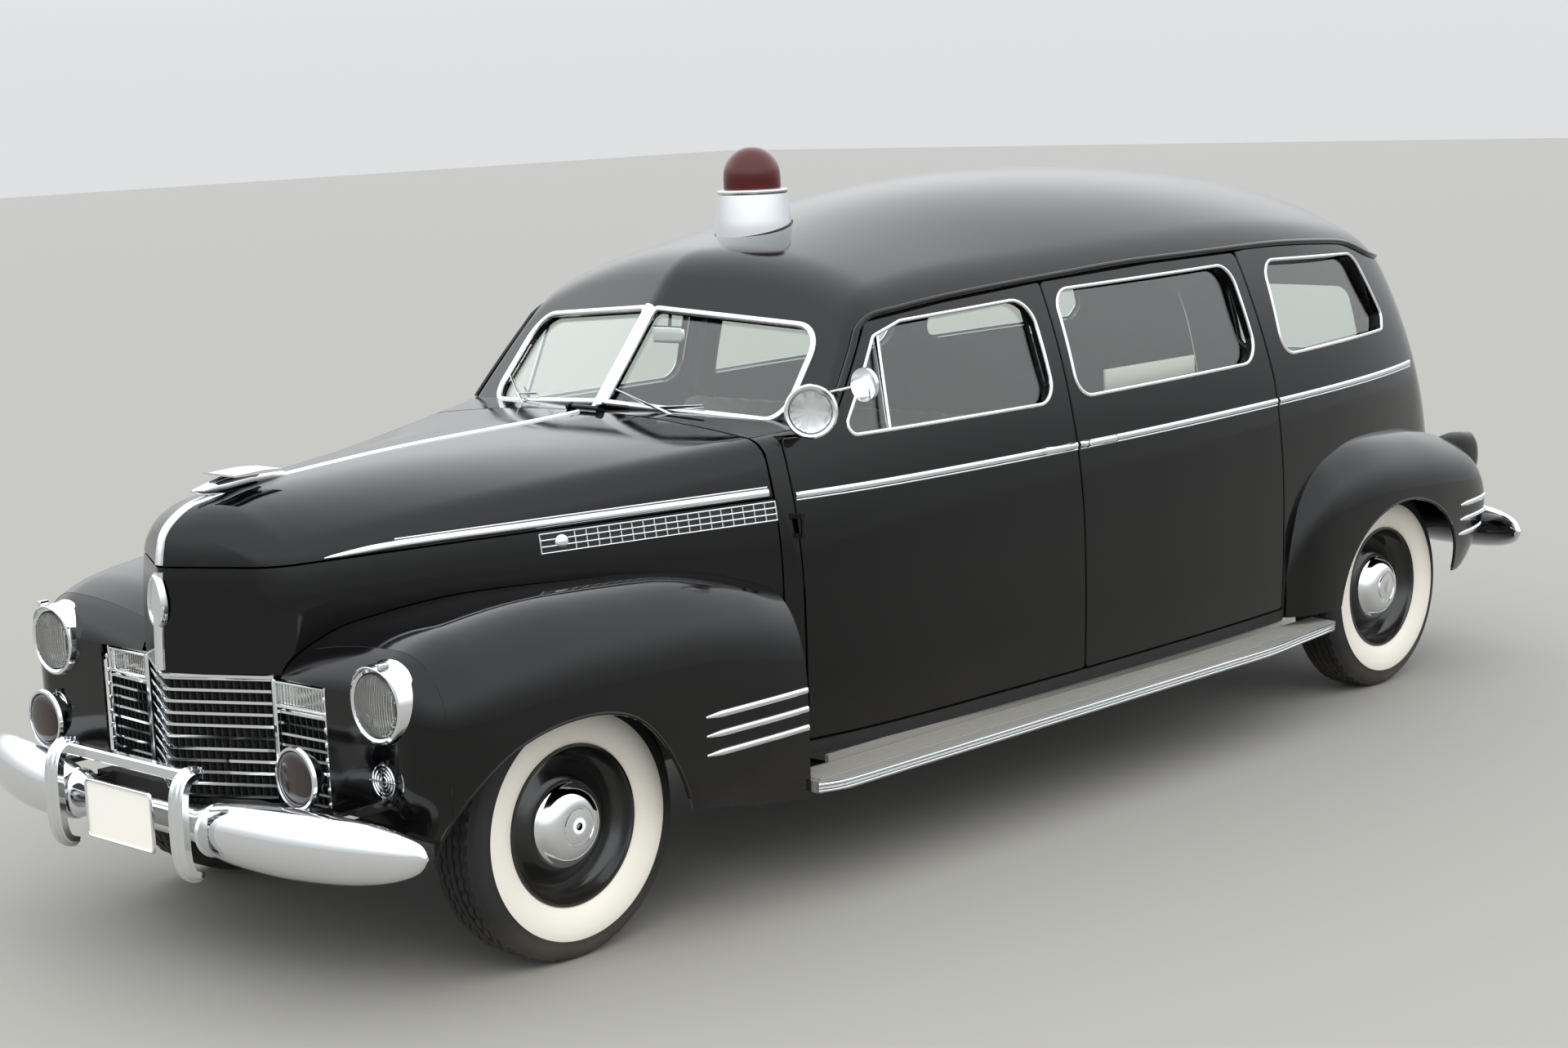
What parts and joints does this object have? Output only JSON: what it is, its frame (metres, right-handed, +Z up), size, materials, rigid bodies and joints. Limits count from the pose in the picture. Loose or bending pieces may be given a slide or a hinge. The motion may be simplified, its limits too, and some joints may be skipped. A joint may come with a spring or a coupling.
{
  "type": "vintage ambulance car",
  "caption": "Long-wheelbase closed ambulance car with hinged side doors, a tail door, an alligator bonnet, steered front wheels and a roof beacon.",
  "frame": {"origin": "on the ground, in the middle of the overall length and width", "axes": "+Y towards the tail, so the front faces -Y; +X towards the left side of the car; +Z up"},
  "size_m": [2.1, 6.006, 2.163],
  "materials": {
    "black_paint": "high gloss",
    "cast_iron": "rough",
    "chrome": "polished",
    "frame_paint": "satin, dusty",
    "glass": "clear",
    "ivory_plastic": "gloss",
    "leather": "worn, satin",
    "pipe_steel": "dull, slightly rusty",
    "red_glass": "dark red",
    "step_rubber": "worn, matt",
    "tyre": "matt",
    "wheel_paint": "gloss"
  },
  "bodies": {
    "car": {"beacon_base": "chrome", "beacon_dome": "red_glass", "body_frame": "frame_paint", "chassis_frame": "frame_paint", "cowl": "black_paint", "dashboard": "black_paint", "door_mirror": "chrome", "engine": "cast_iron", "exhaust": "pipe_steel", "fog_lamp_glass": "red_glass", "fog_lamps": "chrome", "front_bumper": "chrome", "front_seat": "leather", "front_suspension": "frame_paint", "front_wing_left": "black_paint", "front_wing_right": "black_paint", "fuel_tank": "frame_paint", "glass_quarter_left": "glass", "glass_quarter_right": "glass", "grille": "chrome", "head_lamps": "chrome", "lamp_glass": "glass", "nose": "black_paint", "quarter_left": "black_paint", "quarter_right": "black_paint", "rear_axle": "frame_paint", "rear_bumper": "chrome", "rear_wing_left": "black_paint", "rear_wing_right": "black_paint", "roof": "black_paint", "running_board_left": "step_rubber", "running_board_right": "step_rubber", "spot_lamp": "chrome", "steering_wheel": "ivory_plastic", "tail_lamps": "chrome", "windscreen_frame": "black_paint", "windscreen_glass": "glass"},
    "front door left": {"door_front_left": "black_paint", "glass_front_left": "glass"},
    "front door right": {"door_front_right": "black_paint", "glass_front_right": "glass"},
    "centre door left": {"door_centre_left": "black_paint", "glass_centre_left": "glass"},
    "centre door right": {"door_centre_right": "black_paint", "glass_centre_right": "glass"},
    "tail door": {"tail_door": "black_paint", "glass_tail": "glass"},
    "bonnet": {"bonnet": "black_paint"},
    "knuckle left": {"knuckle_left": "frame_paint"},
    "knuckle right": {"knuckle_right": "frame_paint"},
    "front wheel left": {"tyre_front_left": "tyre", "wheel_front_left": "wheel_paint"},
    "front wheel right": {"tyre_front_right": "tyre", "wheel_front_right": "wheel_paint"},
    "rear wheel left": {"tyre_rear_left": "tyre", "wheel_rear_left": "wheel_paint"},
    "rear wheel right": {"tyre_rear_right": "tyre", "wheel_rear_right": "wheel_paint"}
  },
  "joints": [
    {"name": "front_door_left", "type": "hinge", "parent": "car", "child": "front door left", "pos_m": [0.857, -1.133, 0.82], "axis": [0, 0, -1], "range_deg": [0, 65]},
    {"name": "front_door_right", "type": "hinge", "parent": "car", "child": "front door right", "pos_m": [-0.857, -1.133, 0.82], "axis": [0, 0, 1], "range_deg": [0, 65]},
    {"name": "centre_door_left", "type": "hinge", "parent": "car", "child": "centre door left", "pos_m": [0.915, 1.303, 0.82], "axis": [0, 0, 1], "range_deg": [0, 65]},
    {"name": "centre_door_right", "type": "hinge", "parent": "car", "child": "centre door right", "pos_m": [-0.915, 1.303, 0.82], "axis": [0, 0, -1], "range_deg": [0, 65]},
    {"name": "tail_door_swing", "type": "hinge", "parent": "car", "child": "tail door", "pos_m": [0.503, 2.851, 0.86], "axis": [0, 0, -1], "range_deg": [0, 100]},
    {"name": "bonnet_lift", "type": "hinge", "parent": "car", "child": "bonnet", "pos_m": [0, -1.198, 1.392], "axis": [-1, 0, 0], "range_deg": [0, 50]},
    {"name": "steer_left", "type": "hinge", "parent": "car", "child": "knuckle left", "pos_m": [0.65, -2.07, 0.38], "axis": [0, 0, 1], "range_deg": [-28, 28]},
    {"name": "steer_right", "type": "hinge", "parent": "car", "child": "knuckle right", "pos_m": [-0.65, -2.07, 0.38], "axis": [0, 0, 1], "range_deg": [-28, 28]},
    {"name": "front_wheel_left_spin", "type": "hinge", "parent": "knuckle left", "child": "front wheel left", "pos_m": [0.762, -2.07, 0.38], "axis": [1, 0, 0], "continuous": true},
    {"name": "front_wheel_right_spin", "type": "hinge", "parent": "knuckle right", "child": "front wheel right", "pos_m": [-0.762, -2.07, 0.38], "axis": [1, 0, 0], "continuous": true},
    {"name": "rear_wheel_left_spin", "type": "hinge", "parent": "car", "child": "rear wheel left", "pos_m": [0.762, 2.07, 0.38], "axis": [1, 0, 0], "continuous": true},
    {"name": "rear_wheel_right_spin", "type": "hinge", "parent": "car", "child": "rear wheel right", "pos_m": [-0.762, 2.07, 0.38], "axis": [1, 0, 0], "continuous": true}
  ],
  "couplings": [
    {"joint": "steer_right", "follows": "steer_left", "ratio": 1}
  ]
}
